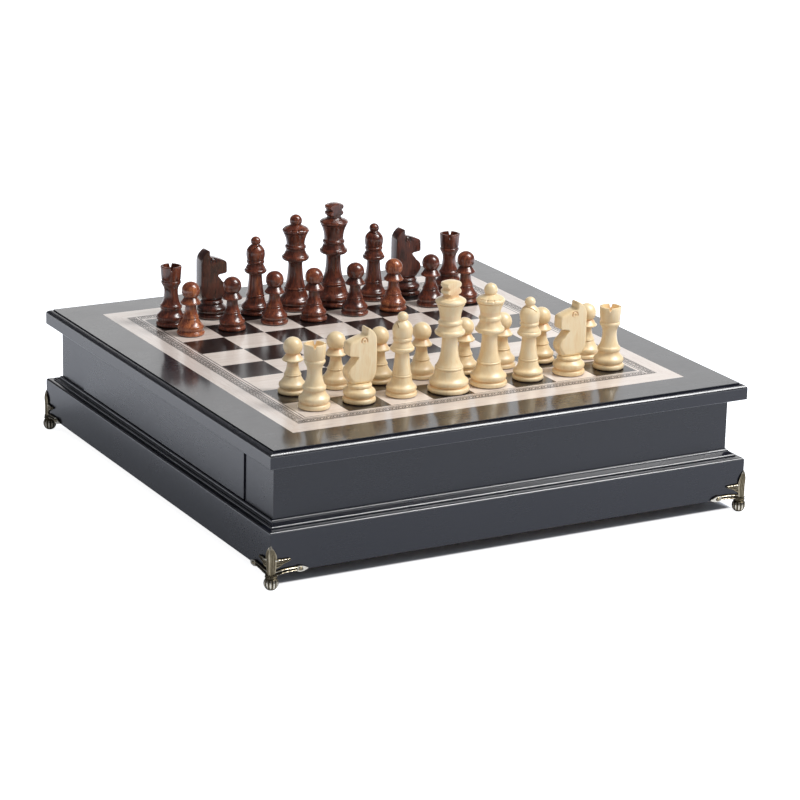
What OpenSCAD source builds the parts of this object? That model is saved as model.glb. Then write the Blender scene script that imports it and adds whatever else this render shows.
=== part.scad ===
// Chess box with two drawers and its 32 chessmen.
// Origin: centre of the footprint on the surface that the box stands on.
// X runs along the front, Y to the back, Z up. All sizes in millimetres.

/* [Playing surface] */
// Side of one square
square = 40; // [38:0.5:46]
// Plain margin of the board sheet beside the field, left and right
sheet_margin_x = 28; // [16:1:40]
// Plain margin of the board sheet in front of and behind the field
sheet_margin_y = 33; // [16:1:44]
// Thickness of the board sheet
sheet_thickness = 1.2; // [1:0.1:2.5]
// Depth of the inlaid dark squares and lines
inlay_depth = 0.6; // [0.3:0.05:0.9]
// Light wood left between two dark squares that meet at a corner
corner_bridge = 0.14; // [0.1:0.02:0.4]
// Width of the line at the edge of the field
inner_line = 0.8; // [0.5:0.1:1.5]
// Width of the line that the key band starts from
outer_line = 1; // [0.5:0.1:2]
// Gap between the two lines
line_gap = 2.4; // [1:0.1:4]

/* [Top board] */
// Black frame of the top board round the board sheet
frame_width = 39.5; // [24:0.5:60]
// Thickness of the top board
top_thickness = 14.5; // [12:0.5:20]
// Width of the moulded strip along the edge
edge_width = 5.2; // [3:0.1:7]
// Height of the small step beside the flat
edge_step = 1.1; // [0.6:0.1:2]
// Height of the rounded part below the step
edge_round = 3.4; // [2:0.1:5]
// Rounding of the lower edge
edge_ease = 0.8; // [0.4:0.1:1.5]

/* [Case] */
// How far the side faces stand back from the top board's edge
side_step = 10; // [7:0.5:14]
// How far the front and back faces stand back from the top board's edge
front_step = 14.5; // [8:0.5:20]
// Clear height between the base moulding and the top board
case_height = 47; // [46:0.5:70]
// Thickness of the front and back walls and of the corner stiles
wall_thickness = 15; // [12:0.5:18]
// Width of a corner post as seen on the side faces, wall end included
post_width = 51; // [40:1:70]
// Thickness of the divider between the two drawer bays
divider_thickness = 12; // [8:1:18]
// Thickness of the guide rails beside the drawers
rail_thickness = 12; // [8:1:16]
// Height of the guide rails
rail_height = 20; // [12:1:30]

/* [Base] */
// How far the base stands out from the side faces
base_side_step = 10; // [7:0.5:14]
// How far the base stands out from the front and back faces
base_front_step = 15.5; // [8:0.5:20]
// Height of the plinth boards
plinth_height = 33; // [26:1:50]
// Thickness of the plinth boards
plinth_thickness = 15; // [10:1:18]
// Height of the moulding between plinth and case
moulding_height = 7; // [6.4:0.1:10]
// Radius of the moulding's three rounded edges
moulding_round = 1.8; // [1:0.1:1.9]

/* [Drawers] */
// Gap round the drawer front
front_gap = 1; // [0.6:0.1:2]
// How far the drawer front stands proud of the posts
front_proud = 1.2; // [0:0.1:4]
// Thickness of the drawer front
front_thickness = 15; // [12:0.5:20]
// Depth of the drawer box behind its front
box_depth = 162; // [140:1:165]
// Height of the drawer box
box_height = 40; // [32:1:44]
// Thickness of the drawer's sides and back
box_wall = 8; // [5:0.5:12]
// Thickness of the drawer's bottom
box_bottom = 4; // [3:0.5:6]
// Running gap under the drawer
run_gap = 0.3; // [0.3:0.1:1]
// Thickness of the felt lining
lining_thickness = 1; // [0.5:0.1:2]
// Number of cells for the larger men
cells = 8; // [4:1:8]
// Length of those cells
cell_length = 99; // [80:1:110]
// Thickness of the dividers
cell_wall = 2.5; // [2:0.5:4]
// Height of the dividers
cell_height = 27; // [15:1:28]

/* [Touch catches] */
// Gap between the back of the shut drawer and the catch housing
catch_gap = 6; // [4:0.5:8]
// Side of the square catch housing
catch_side = 18; // [14:1:24]
// Diameter of the plunger
plunger_diameter = 8; // [5:0.5:10]
// Plunger length as a share of the room between its tip and the divider
plunger_share = 0.67; // [0.64:0.01:0.7]
// Radial clearance of the plunger in its housing
plunger_clearance = 0.06; // [0.03:0.01:0.1]
// Depth of the plunger's hole beyond its inner end
plunger_spare = 2; // [1:0.5:3]
// Gap between the plunger's tip and the back of the shut drawer
plunger_gap = 0.3; // [0.2:0.1:1]

/* [Feet] */
// Clear height under the plinth
foot_height = 13.5; // [12:0.5:20]
// Largest diameter of the ball
ball_diameter = 12.2; // [10:0.2:16]
// Diameter of the flat that the ball stands on
ball_flat = 6; // [4:0.2:8]
// Thickness of the cast leaves
leaf_thickness = 2.2; // [1.6:0.1:3]
// Height of the leaf above the plinth's lower edge
leaf_height = 23.4; // [18:0.2:25]
// Length of the toe along the plinth
toe_length = 33.8; // [30:0.2:40]
// Distance of the screw hole from the corner of the plinth
screw_reach = 26.3; // [24:0.1:27]
// Height of the screw hole above the plinth's lower edge
screw_rise = 1.9; // [1.6:0.1:2.4]
// Diameter of the screw shank
screw_diameter = 1.8; // [1.4:0.1:2.2]
// Diameter of the screw head
screw_head = 3.2; // [2.8:0.1:3.6]
// Length of the screw inside the plinth
screw_length = 9; // [6:0.5:9.5]

/* [Chessmen] */
// Height of the king
king_height = 96; // [85:1:105]
// Diameter of the king's base
king_base = 36; // [32:0.5:36.5]
// Height of the queen
queen_height = 89; // [80:1:98]
// Diameter of the queen's base
queen_base = 32.4; // [29:0.2:33]
// Height of the bishop
bishop_height = 72.4; // [66:0.5:80]
// Diameter of the bishop's base
bishop_base = 27; // [24:0.2:30]
// Height of the knight
knight_height = 63.8; // [58:0.2:70]
// Diameter of the knight's base
knight_base = 28.2; // [26:0.2:30]
// Thickness of the knight's head
knight_thickness = 12; // [10:0.5:15]
// Height of the rook
rook_height = 55.2; // [50:0.2:60]
// Diameter of the rook's base
rook_base = 27.2; // [25:0.2:30]
// Height of the pawn
pawn_height = 48.5; // [45:0.5:54]
// Diameter of the pawn's base
pawn_base = 25; // [22:0.2:26]

/* [Hidden] */

$fn = 48;

// Glue line between the boards of one sub-part
joint_gap = 0.1;

// Finishes
lacquer = [0.09, 0.09, 0.10];
maple = [0.86, 0.80, 0.74];
ebony = [0.10, 0.08, 0.08];
pine = [0.72, 0.56, 0.36];
felt = [0.10, 0.25, 0.16];
brass = [0.62, 0.55, 0.36];
steel = [0.70, 0.70, 0.72];
boxwood = [0.92, 0.82, 0.60];
redwood = [0.33, 0.14, 0.08];

// Playing surface
squares = 8;
field = squares * square;
sheet_w = field + 2 * sheet_margin_x;
sheet_d = field + 2 * sheet_margin_y;
dark_side = square - corner_bridge;
inner_line_from = field / 2 + corner_bridge;
outer_line_from = inner_line_from + inner_line + line_gap;

// Outline of the top board and the plinth, and of the case between them
outer_w = sheet_w + 2 * frame_width;
outer_d = sheet_d + 2 * frame_width;
case_w = outer_w - 2 * side_step;
case_d = outer_d - 2 * front_step;
base_w = case_w + 2 * base_side_step;
base_d = case_d + 2 * base_front_step;
inner_w = case_w - 2 * wall_thickness;
inner_d = case_d - 2 * wall_thickness;

screw_hole = screw_diameter + 0.1;

// Levels above the surface that the box stands on
plinth_z = foot_height;
moulding_z = plinth_z + plinth_height;
case_z = moulding_z + moulding_height;
top_z = case_z + case_height;
board_z = top_z + top_thickness;

// Drawers, laid out on the left side and mirrored to the right
opening_d = case_d - 2 * post_width;
front_w = opening_d - 2 * front_gap;
front_x = -case_w / 2 - front_proud;
box_x = front_x + front_thickness;
box_end = box_x + box_depth;
box_z = case_z + run_gap;
lining_z = box_z + box_bottom;
cells_z = lining_z + lining_thickness;
box_inner_w = front_w - 2 * box_wall;
cell_w = (box_inner_w - (cells - 1) * cell_wall) / cells;

// Touch catches on the centre divider, level with the middle of the drawer's back
catch_x = box_end + catch_gap;
catch_end = -divider_thickness / 2;
catch_z = box_z + box_height / 2;
plunger_tip = box_end + plunger_gap;
plunger_length = plunger_share * (catch_end - plunger_tip);

// Points along an ellipse's arc round c with radii r, from angle a to angle b
function arc(c, r, a, b, steps = 6) =
    [for (k = [0:steps]) let (t = a + (b - a) * k / steps) [c.x + r.x * cos(t), c.y + r.y * sin(t)]];

// A round swelling of a turned profile, out to radius r, between two heights
function bead(r, swell, low, high, steps = 8) =
    arc([r - swell, (low + high) / 2], [swell, (high - low) / 2], -90, 90, steps);

// A smooth bend from a to c, pulled towards b
function bend(a, b, c, steps = 8) =
    [for (k = [0:steps]) let (t = k / steps) (1 - t) * (1 - t) * a + 2 * t * (1 - t) * b + t * t * c];

// A turned profile stretched to its base diameter and height
function fitted(points, base, height) =
    let (
        wide = max([for (p = points) p.x]),
        tall = max([for (p = points) p.y])
    )
    [for (p = points) [p.x * base / 2 / wide, p.y * height / tall]];

// A section through a moulded block: the edge profile on both sides, as [inset, height]
function section(width, edge) = concat(
    [for (p = edge) [p.x - width / 2, p.y]],
    [for (k = [len(edge) - 1:-1:0]) [width / 2 - edge[k].x, edge[k].y]]
);

// A rectangular block with one edge profile along X and another along Y
module moulded_block(width, depth, edge_sides, edge_ends) {
    intersection() {
        rotate([90, 0, 0])
            linear_extrude(depth + 2, center = true) polygon(section(width, edge_sides));
        rotate([90, 0, 90])
            linear_extrude(width + 2, center = true) polygon(section(depth, edge_ends));
    }
}

// A block centred on X and Y that stands on height z
module slab(width, depth, z, height) {
    translate([-width / 2, -depth / 2, z]) cube([width, depth, height]);
}

// A flat rectangular ring
module ring_slab(from, width, z, height) {
    outer = 2 * (from + width);
    difference() {
        slab(outer, outer, z, height);
        slab(2 * from, 2 * from, z - 1, height + 2);
    }
}

// The quarter of a rectangular frame that lies towards -Y (turn 0), +X, +Y or -X, cut off
// along its mitres, which run through the corners of rectangles of the sizes given
module mitre_wedge(sizes, turn) {
    last = len(sizes) - 1;
    quarter = turn % 2 == 0
        ? concat(
            [for (s = sizes) [s.x / 2 - joint_gap, -s.y / 2]],
            [for (k = [last:-1:0]) [joint_gap - sizes[k].x / 2, -sizes[k].y / 2]]
        )
        : concat(
            [for (s = sizes) [s.x / 2, -s.y / 2]],
            [for (k = [last:-1:0]) [sizes[k].x / 2, sizes[k].y / 2]]
        );
    rotate([0, 0, turn < 2 ? 0 : 180]) linear_extrude(board_z) polygon(quarter);
}

// Playing surface

module dark_square_cuts(depth) {
    for (i = [0:squares - 1], j = [0:squares - 1])
        if ((i + j) % 2 == 1)
            translate([
                (i - squares / 2 + 0.5) * square - dark_side / 2,
                (j - squares / 2 + 0.5) * square - dark_side / 2,
                board_z - inlay_depth
            ])
                cube([dark_side, dark_side, depth]);
}

module line_cuts(depth) {
    ring_slab(inner_line_from, inner_line, board_z - inlay_depth, depth);
    ring_slab(outer_line_from, outer_line, board_z - inlay_depth, depth);
}

module board_sheet() {
    color(maple)
        difference() {
            slab(sheet_w, sheet_d, board_z - sheet_thickness, sheet_thickness);
            dark_square_cuts(inlay_depth + 1);
            line_cuts(inlay_depth + 1);
        }
}

module dark_squares() {
    color(ebony) dark_square_cuts(inlay_depth);
}

module border_lines() {
    color(ebony) line_cuts(inlay_depth);
}

// Top board

// Flat at the foot of the small step
edge_quirk = 0.6;
step_z = top_thickness - edge_step;
top_edge = concat(
    [[edge_width, top_thickness], [edge_width, step_z]],
    arc(
        [edge_width - edge_quirk, step_z - edge_round],
        [edge_quirk - edge_width, edge_round], 90, 0, 10
    ),
    arc([edge_ease, edge_ease], [-edge_ease, -edge_ease], 0, 90)
);

module top_panel() {
    color(lacquer)
        difference() {
            translate([0, 0, top_z]) moulded_block(outer_w, outer_d, top_edge, top_edge);
            slab(sheet_w, sheet_d, board_z - sheet_thickness, sheet_thickness + 1);
        }
}

// Case

module long_wall(side) {
    color(lacquer)
        translate([-case_w / 2, side * (case_d - wall_thickness) / 2 - wall_thickness / 2, case_z])
            cube([case_w, wall_thickness, case_height]);
}

module corner_stiles() {
    color(lacquer)
        for (sx = [-1, 1], sy = [-1, 1])
            scale([sx, sy, 1])
                translate([inner_w / 2, opening_d / 2, case_z])
                    cube([wall_thickness, post_width - wall_thickness, case_height]);
}

module centre_divider() {
    color(pine) slab(divider_thickness, inner_d, case_z, case_height);
}

module floor_panel() {
    color(pine) slab(inner_w, inner_d, moulding_z, moulding_height);
}

module guide_rails() {
    length = (inner_w - divider_thickness) / 2;
    color(pine)
        for (sx = [-1, 1], sy = [-1, 1])
            scale([sx, sy, 1])
                translate([divider_thickness / 2, opening_d / 2, case_z])
                    cube([length, rail_thickness, rail_height]);
}

// Base

// Ledge at the foot of the case and upright face below the upper round
case_ledge = 0.4;
upper_face = 1.4;
// Place of the middle step between the plinth's face and the case's
middle_share = 0.45;

// Three rounded steps from the case's face out to the plinth's, as [inset, height]
function base_edge(step) =
    let (
        r = moulding_round,
        upper = moulding_height - r,
        middle = upper - upper_face - r
    )
    concat(
        [[step, moulding_height]],
        arc([step - case_ledge, upper], [-r, r], 90, 0, 8),
        arc([step * middle_share + r, middle], [-r, r], 90, 0, 8),
        [[step * middle_share, r]],
        arc([r, 0], [-r, r], 90, 0, 8)
    );

module base_moulding() {
    color(lacquer)
        for (turn = [0:3])
            intersection() {
                translate([0, 0, moulding_z])
                    moulded_block(
                        base_w, base_d, base_edge(base_side_step), base_edge(base_front_step)
                    );
                mitre_wedge([[base_w, base_d], [case_w, case_d], [inner_w, inner_d]], turn);
            }
}

module pilot_holes() {
    place_feet()
        place_screws()
            translate([0, 0, -1]) cylinder(h = screw_length + 2, d = screw_hole);
}

module plinth_boards() {
    inner_x = base_w - 2 * plinth_thickness;
    inner_y = base_d - 2 * plinth_thickness;
    color(lacquer)
        for (turn = [0:3])
            difference() {
                intersection() {
                    slab(base_w, base_d, plinth_z, plinth_height);
                    mitre_wedge([[base_w, base_d], [inner_x, inner_y]], turn);
                }
                pilot_holes();
            }
}

// Feet, modelled with the plinth's lower corner at the origin and the plinth towards +X and +Y

// Side and thickness of the pad under the plinth's corner
foot_pad = 10;
pad_thickness = 1.2;
// How far the leaves hang below the plinth
leaf_drop = 3.6;
neck_radius = 4.9;
// Distance of the ball's axis from both plinth faces
ball_inset = 2;

// Outline of the leaves on one face, as [distance along the plinth, height]: the leaf on the
// corner, the short leaf beside it and the long toe with its screw hole
leaf_outline = concat(
    [[-leaf_thickness, -leaf_drop], [-leaf_thickness, leaf_height - 1.8]],
    bend([-1.2, leaf_height], [4.4, leaf_height - 2.6], [4.9, 13.4], 6),
    [[8.6, 12.5]],
    bend([17.8, 10.2], [9.6, 6.2], [7.4, 3.4], 5),
    bend([8, 3.5], [20, 5.2], [screw_reach + 1.6, 4.6], 5),
    [[toe_length, 0.7]],
    bend([screw_reach + 3.5, -0.7], [16, -0.4], [7.4, -1.8], 5),
    [[5.2, -leaf_drop]]
);

module leaf_plate() {
    difference() {
        rotate([90, 0, 0]) linear_extrude(leaf_thickness) polygon(leaf_outline);
        translate([screw_reach, 1, screw_rise]) rotate([90, 0, 0])
            cylinder(h = leaf_thickness + 2, d = screw_hole);
    }
}

ball_radius = ball_diameter / 2;
ball_centre = sqrt(ball_radius * ball_radius - ball_flat * ball_flat / 4) - foot_height;
ball_profile = concat(
    [[0, -foot_height]],
    arc(
        [0, ball_centre], [ball_radius, ball_radius],
        -acos(ball_flat / 2 / ball_radius), acos(neck_radius / ball_radius), 12
    ),
    [[neck_radius, -pad_thickness], [0, -pad_thickness]]
);

module corner_foot() {
    color(brass) {
        leaf_plate();
        mirror([1, -1, 0]) leaf_plate();
        translate([-leaf_thickness, -leaf_thickness, -pad_thickness])
            cube([foot_pad + leaf_thickness, foot_pad + leaf_thickness, pad_thickness]);
        translate([ball_inset, ball_inset, 0]) rotate_extrude() polygon(ball_profile);
    }
}

// Puts a foot, modelled at the front left corner, at the corner on side sx, sy
module at_corner(sx, sy) {
    scale([-sx, -sy, 1]) translate([-base_w / 2, -base_d / 2, plinth_z]) children();
}

module place_feet() {
    for (sx = [-1, 1], sy = [-1, 1]) at_corner(sx, sy) children();
}

// Puts a screw, modelled with its shank along +Z from the plinth's face, in both toes of a foot
module place_screws() {
    translate([screw_reach, 0, screw_rise]) rotate([-90, 0, 0]) children();
    translate([0, screw_reach, screw_rise]) rotate([0, 90, 0]) children();
}

module foot_screw() {
    head_height = 0.9;
    head_crown = 0.55;
    translate([0, 0, -leaf_thickness])
        cylinder(h = leaf_thickness + screw_length, d = screw_diameter);
    translate([0, 0, -leaf_thickness]) mirror([0, 0, 1])
        cylinder(h = head_height, d1 = screw_head, d2 = screw_head * head_crown);
}

module foot_screws() {
    color(brass) place_feet() place_screws() foot_screw();
}

// Touch catches

module catch_bore() {
    translate([catch_x - 1, 0, catch_z]) rotate([0, 90, 0])
        cylinder(
            h = plunger_tip + plunger_length + plunger_spare - catch_x + 1,
            r = plunger_diameter / 2 + plunger_clearance
        );
}

module catch_housings() {
    color(steel)
        for (sx = [-1, 1])
            scale([-sx, 1, 1])
                difference() {
                    translate([catch_x, -catch_side / 2, catch_z - catch_side / 2])
                        cube([catch_end - catch_x, catch_side, catch_side]);
                    catch_bore();
                }
}

module plunger(sx) {
    color(steel)
        scale([-sx, 1, 1])
            translate([plunger_tip, 0, catch_z]) rotate([0, 90, 0])
                cylinder(h = plunger_length, d = plunger_diameter);
}

// Drawers

module drawer_front(sx) {
    color(lacquer)
        scale([-sx, 1, 1])
            translate([front_x, -front_w / 2, case_z + front_gap])
                cube([front_thickness, front_w, case_height - 2 * front_gap]);
}

module drawer_box(sx) {
    color(pine)
        scale([-sx, 1, 1]) {
            for (sy = [-1, 1])
                translate([box_x, sy * (front_w - box_wall) / 2 - box_wall / 2, box_z])
                    cube([box_depth, box_wall, box_height]);
            translate([box_end - box_wall, joint_gap - box_inner_w / 2, box_z])
                cube([box_wall, box_inner_w - 2 * joint_gap, box_height]);
            translate([box_x, joint_gap - box_inner_w / 2, box_z])
                cube([box_depth - box_wall - joint_gap, box_inner_w - 2 * joint_gap, box_bottom]);
        }
}

module drawer_lining(sx) {
    color(felt)
        scale([-sx, 1, 1])
            translate([box_x, -box_inner_w / 2, lining_z])
                cube([box_depth - box_wall, box_inner_w, lining_thickness]);
}

module drawer_dividers(sx) {
    color(pine)
        scale([-sx, 1, 1]) {
            translate([box_x + cell_length, -box_inner_w / 2, cells_z])
                cube([cell_wall, box_inner_w, cell_height]);
            for (k = [1:cells - 1])
                translate([box_x, k * (cell_w + cell_wall) - cell_wall - box_inner_w / 2, cells_z])
                    cube([cell_length - joint_gap, cell_wall, cell_height]);
        }
}

// Chessmen: turned profiles as [radius, height], in the proportions of the full-size men

king_profile = concat(
    bead(18, 1.6, 0, 4.7), [[15.2, 5]],
    arc([14, 8.4], [2.9, 3], -55, 60), bend([15.2, 11.2], [12.7, 12.8], [12, 19], 5),
    bead(12.2, 0.8, 19.6, 21.8, 6),
    bend([11.5, 22.2], [6.8, 28], [6.7, 46]), [[7.2, 47.6]], [[11.2, 49]],
    bead(12.9, 1.6, 49.4, 53.4), [[10.9, 54]], [[9.8, 57]], [[9.2, 58]],
    bead(10.2, 0.8, 58.6, 61.6, 6), bend([8.9, 62.2], [8.8, 70], [12.2, 76]),
    bead(13.1, 1.8, 76.4, 80.2), [[11, 80.8]], [[7.2, 81.8]], [[6.4, 83.6]],
    bead(8.7, 1.8, 85, 89), [[7.6, 89.8]],
    bead(8.8, 1.6, 90.6, 94.8), [[4, 95.9]], [[0, 96]]
);

queen_profile = concat(
    bead(16.2, 1.5, 0, 4.5), [[14, 4.8]],
    arc([12.6, 8], [2.9, 3], -55, 55), bend([14, 10.7], [11.3, 12.6], [10.2, 18.8], 5),
    bead(10.45, 0.8, 19.4, 21.4, 6),
    bend([9.7, 21.8], [7, 28], [6.5, 43]), [[7, 45.2]], [[11.2, 46.8]],
    bead(12.6, 1.5, 47.2, 51), [[10.4, 52.4]], [[9, 55.4]], [[8.7, 56.8]],
    bead(9.7, 0.8, 57.4, 60.6, 6), bend([8.4, 61.2], [8.5, 67], [11.4, 72]),
    bead(12.3, 1.8, 72.4, 76.2), [[10.9, 76.7]], [[7.4, 78.5]], [[4.9, 79.6]],
    arc([0, 83.2], [5.8, 5.8], -36, 90, 12)
);

bishop_profile = concat(
    bead(13.5, 1.3, 0, 4), [[11.7, 4.3]],
    arc([10.4, 7], [2.5, 2.5], -55, 55), bend([11.6, 9.2], [9, 10.6], [8.4, 16.2], 5),
    bead(8.6, 0.7, 16.8, 18.8, 6),
    bend([8.1, 19.2], [6.9, 24], [6, 36.4]), [[6.3, 37.8]], [[9, 38.8]],
    bead(10.3, 1.3, 39.2, 42.6), [[9, 43.6]], [[8, 45.4]], [[7.3, 47]],
    bead(8.2, 0.7, 47.8, 50.6, 6), [[7.7, 51.2]],
    bend([7.9, 51.4], [9.5, 58.4], [7.4, 61.4], 6), bend([7.4, 61.4], [5.8, 63.8], [3.7, 65.2], 5),
    arc([0, 68.1], [4.6, 4.3], -38, 90, 10)
);

rook_profile = concat(
    bead(13.6, 1.3, 0, 4.4), [[11.8, 4.8]],
    arc([10.5, 8], [2.6, 3], -50, 60), bend([11.5, 11], [9.6, 12.6], [9.1, 15.4], 5),
    bead(10, 1, 15.8, 19.6), bend([8.6, 20.2], [6.2, 25], [6.2, 33]),
    bend([6.2, 33], [6.6, 36.4], [8.3, 38.4], 5), bead(9, 0.8, 38.8, 41.8, 6),
    [[8.4, 42.4]], [[8.7, 43]], [[9.6, 54.7]], [[9.3, 55.2]], [[7.5, 55.2]], [[7, 49.6]], [[0, 49.6]]
);

pawn_profile = concat(
    bead(12.5, 1.2, 0, 3.7), [[11, 4]],
    arc([9.2, 7.2], [2.5, 2.9], -55, 50), bend([10.6, 9.6], [8.6, 11.4], [7.2, 15], 5),
    bead(7.4, 0.6, 15.4, 17.2, 6),
    bend([6.9, 17.6], [5, 20.4], [4.8, 27]), [[5, 27.8]], [[8.3, 28.2]],
    bead(9.1, 0.8, 28.4, 30.2, 6), [[5.8, 34.3]],
    arc([0, 40.3], [8.2, 8.2], -46, 90, 14)
);

knight_foot_profile = concat(
    bead(14.1, 1.3, 0, 4.4), [[12.2, 4.8]],
    arc([11, 8.3], [2.8, 3.1], -55, 60), [[10.2, 12.8]],
    bead(10.6, 0.8, 13.2, 15.8, 6), [[9.6, 16.4]], [[0, 16.4]]
);

// Outline of the knight's head, as [distance ahead, height]
knight_outline = concat(
    bend([-8, 16.2], [-13.6, 19.5], [-13, 34]), [[-13, 52]],
    bend([-13, 54], [-12.2, 59.6], [-6.8, 63.2], 5), bend([-6.6, 63.4], [-4.4, 64.6], [-4.3, 61.6], 4),
    [[-4.4, 58.6]], [[-3.4, 57.3]], [[1.6, 56.2]], [[9.6, 53.4]], [[11.4, 52.4]], [[12.4, 50.8]],
    [[12.5, 42.4]], [[11.8, 41.3]], [[4.4, 40.3]], [[3.6, 39.3]], [[6.1, 36.6]],
    bend([8.2, 33.6], [18.2, 27.1], [8.2, 16.2])
);

module turned(profile, base, height) {
    points = fitted(profile, base, height);
    rotate_extrude() polygon(concat([[0, 0]], points));
}

// The king's finial is sawn flat in front and behind
module king() {
    finial_foot = king_height * 0.865;
    flat_depth = king_height * 0.058;
    difference() {
        turned(king_profile, king_base, king_height);
        for (turn = [0, 180])
            rotate([0, 0, turn]) translate([-king_base / 2, flat_depth, finial_foot])
                cube([king_base, king_base, king_height]);
    }
}

module queen() {
    turned(queen_profile, queen_base, queen_height);
}

// The bishop's mitre has a slanting saw cut
module bishop() {
    cut_z = bishop_height * 0.83;
    cut_slant = 52;
    cut_width = 1.2;
    reach = bishop_base / 2;
    difference() {
        turned(bishop_profile, bishop_base, bishop_height);
        translate([-2, 0, cut_z]) rotate([0, cut_slant, 0])
            translate([-reach, -reach, 0]) cube([reach, 2 * reach, cut_width]);
    }
}

// The rook's battlements are left by two crossing cuts with sloping sides
module rook() {
    cut_top = 2.6;
    cut_floor = 0.8;
    cut_depth = 3.6;
    notch = [
        [-cut_top / 2, 0.1], [-cut_floor / 2, -cut_depth], [cut_floor / 2, -cut_depth], [cut_top / 2, 0.1]
    ];
    difference() {
        turned(rook_profile, rook_base, rook_height);
        for (turn = [0, 90])
            translate([0, 0, rook_height]) rotate([90, 0, turn])
                linear_extrude(rook_base, center = true) polygon(notch);
    }
}

module pawn() {
    turned(pawn_profile, pawn_base, pawn_height);
}

// A turned foot with a sawn head that looks along +X
module knight() {
    stretch = knight_height / max([for (p = knight_outline) p.y]);
    foot_top = max([for (p = knight_foot_profile) p.y]);
    turned(knight_foot_profile, knight_base, foot_top * stretch);
    rotate([90, 0, 0])
        linear_extrude(knight_thickness, center = true)
            polygon([for (p = knight_outline) [p.x, p.y * stretch]]);
}

module man(kind) {
    if (kind == "king") king();
    if (kind == "queen") queen();
    if (kind == "bishop") bishop();
    if (kind == "knight") knight();
    if (kind == "rook") rook();
    if (kind == "pawn") pawn();
}

// Where each man of a rank stands beside its square's centre and how it is turned, as left by
// hand: the white knights look to -X and the brown ones to +X
white_stand = [
    [-1.5, 1], [0.5, 1], [1, 2], [3.6, -3], [3.1, -1.5], [2.5, -1], [3, -1.5], [3.5, -1.5]
];
white_turn = [-27, 180, -40, 5, 0, 30, 180, -33];
brown_stand = [
    [-6, -4], [-1, 6], [0, 0], [0.5, 0], [-0.3, 0], [2, 0.5], [-1.5, 4.5], [2, -1]
];
brown_turn = [-20, 0, 116, 0, 5, 40, 0, -30];
white_pawn_stand = [
    [1, 6], [1.5, 6], [2, 4], [1.5, 1.5], [2, -1], [0.5, 0.5], [0, 1], [3, -4.5]
];
brown_pawn_stand = [
    [-2.5, 1.5], [-1.5, 2], [2, 4.5], [-0.5, 0], [2.5, 1.5], [1.5, 0], [0.5, 0], [-4, -3]
];

module stand(file, rank, shift) {
    translate([
        (file - squares / 2 + 0.5) * square + shift.x,
        (rank - squares / 2 + 0.5) * square + shift.y,
        board_z
    ])
        children();
}

module white_man(kind, file) {
    color(boxwood) stand(file, 0, white_stand[file]) rotate([0, 0, white_turn[file]]) man(kind);
}

module brown_man(kind, file) {
    color(redwood)
        stand(file, squares - 1, brown_stand[file]) rotate([0, 0, brown_turn[file]]) man(kind);
}

module white_pawn(file) {
    color(boxwood) stand(file, 1, white_pawn_stand[file]) pawn();
}

module brown_pawn(file) {
    color(redwood) stand(file, squares - 2, brown_pawn_stand[file]) pawn();
}

top_panel();
board_sheet();
dark_squares();
border_lines();
long_wall(-1);  // front_wall
long_wall(1);  // back_wall
corner_stiles();
centre_divider();
floor_panel();
guide_rails();
base_moulding();
plinth_boards();
at_corner(-1, -1) corner_foot();  // foot_front_left
at_corner(1, -1) corner_foot();  // foot_front_right
at_corner(-1, 1) corner_foot();  // foot_back_left
at_corner(1, 1) corner_foot();  // foot_back_right
foot_screws();
catch_housings();
plunger(-1);  // left_plunger
plunger(1);  // right_plunger
drawer_front(-1);  // left_drawer_front
drawer_box(-1);  // left_drawer_box
drawer_dividers(-1);  // left_drawer_dividers
drawer_lining(-1);  // left_drawer_lining
drawer_front(1);  // right_drawer_front
drawer_box(1);  // right_drawer_box
drawer_dividers(1);  // right_drawer_dividers
drawer_lining(1);  // right_drawer_lining
white_man("rook", 0);  // white_rook_1
white_man("knight", 1);  // white_knight_1
white_man("bishop", 2);  // white_bishop_1
white_man("king", 3);  // white_king
white_man("queen", 4);  // white_queen
white_man("bishop", 5);  // white_bishop_2
white_man("knight", 6);  // white_knight_2
white_man("rook", 7);  // white_rook_2
white_pawn(0);  // white_pawn_1
white_pawn(1);  // white_pawn_2
white_pawn(2);  // white_pawn_3
white_pawn(3);  // white_pawn_4
white_pawn(4);  // white_pawn_5
white_pawn(5);  // white_pawn_6
white_pawn(6);  // white_pawn_7
white_pawn(7);  // white_pawn_8
brown_man("rook", 0);  // brown_rook_1
brown_man("knight", 1);  // brown_knight_1
brown_man("bishop", 2);  // brown_bishop_1
brown_man("queen", 3);  // brown_queen
brown_man("king", 4);  // brown_king
brown_man("bishop", 5);  // brown_bishop_2
brown_man("knight", 6);  // brown_knight_2
brown_man("rook", 7);  // brown_rook_2
brown_pawn(0);  // brown_pawn_1
brown_pawn(1);  // brown_pawn_2
brown_pawn(2);  // brown_pawn_3
brown_pawn(3);  // brown_pawn_4
brown_pawn(4);  // brown_pawn_5
brown_pawn(5);  // brown_pawn_6
brown_pawn(6);  // brown_pawn_7
brown_pawn(7);  // brown_pawn_8
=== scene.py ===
"""Looks of the chess box: finishes, chessmen, cast feet, key band, felt linings, light, camera.

Lengths on the part are in millimetres in the CAD frame, and mesh helpers turn them into metres.
The camera, the lamps and the studio round the part are in metres.
"""
import math

import bpy
import numpy as np
from mathutils import Matrix, Vector
from mathutils.geometry import delaunay_2d_cdt


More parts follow.
